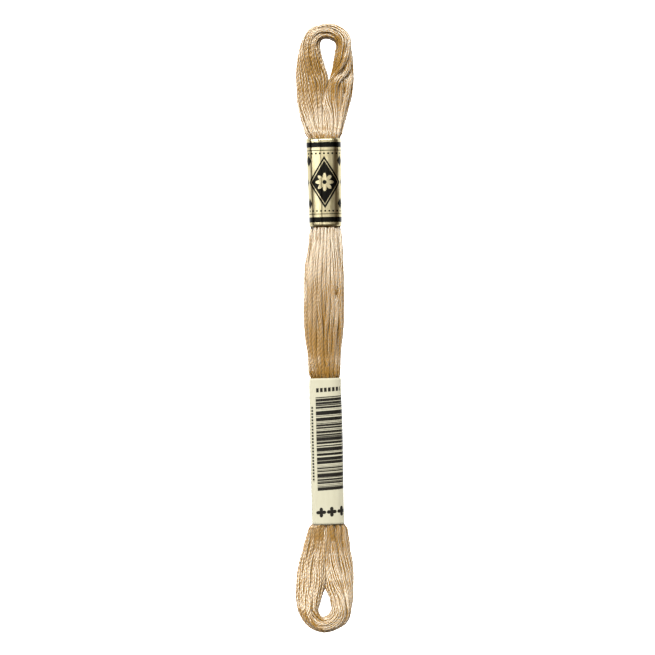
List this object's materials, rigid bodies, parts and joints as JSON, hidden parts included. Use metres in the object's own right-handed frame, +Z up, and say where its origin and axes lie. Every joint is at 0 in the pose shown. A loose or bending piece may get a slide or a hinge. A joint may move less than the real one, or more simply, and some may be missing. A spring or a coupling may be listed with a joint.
{
  "type": "hank of embroidery floss",
  "caption": "Slim hank of stranded embroidery floss with an open loop at each end, held by printed paper bands.",
  "frame": {"origin": "middle of the footprint, on the surface that the hank lies on", "axes": "+Y along the hank towards the loop beside the short band, +Z up out of the surface, +X to the right of the printed front"},
  "size_m": [0.015, 0.16, 0.0083],
  "materials": {
    "floss": "silky stranded cotton",
    "gold_paper": "metallic gold and black print",
    "cream_paper": "smooth matte print"
  },
  "bodies": {
    "root": {"floss_hank": "floss", "upper_band": "gold_paper", "lower_band": "cream_paper"}
  },
  "joints": []
}
